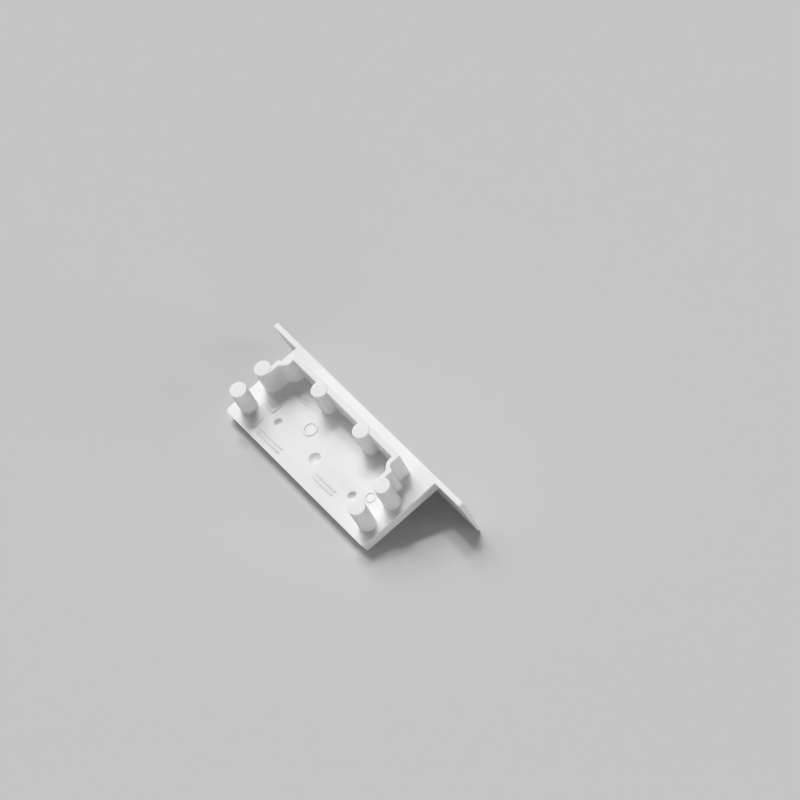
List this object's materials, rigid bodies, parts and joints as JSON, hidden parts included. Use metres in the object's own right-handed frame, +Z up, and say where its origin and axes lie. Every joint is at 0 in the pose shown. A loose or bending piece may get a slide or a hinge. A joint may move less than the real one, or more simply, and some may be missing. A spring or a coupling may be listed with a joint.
{
  "type": "profile end cap",
  "caption": "White moulded end cap for a flanged light profile, with a tapered flange, a locating fence and press-in pegs on its inner side.",
  "frame": {"origin": "on the floor below the middle of the cap as it lies at rest, midway between its front and back reach", "axes": "+X along the cap's length, +Y from the plate's lower edge towards the flange, +Z up from the floor; the pegs lean 22.7 degrees from +Z towards -Y"},
  "size_m": [0.0472, 0.0176, 0.0116],
  "materials": {
    "white_plastic": "fine satin, as moulded"
  },
  "bodies": {
    "root": {"end_cap": "white_plastic"}
  },
  "joints": []
}
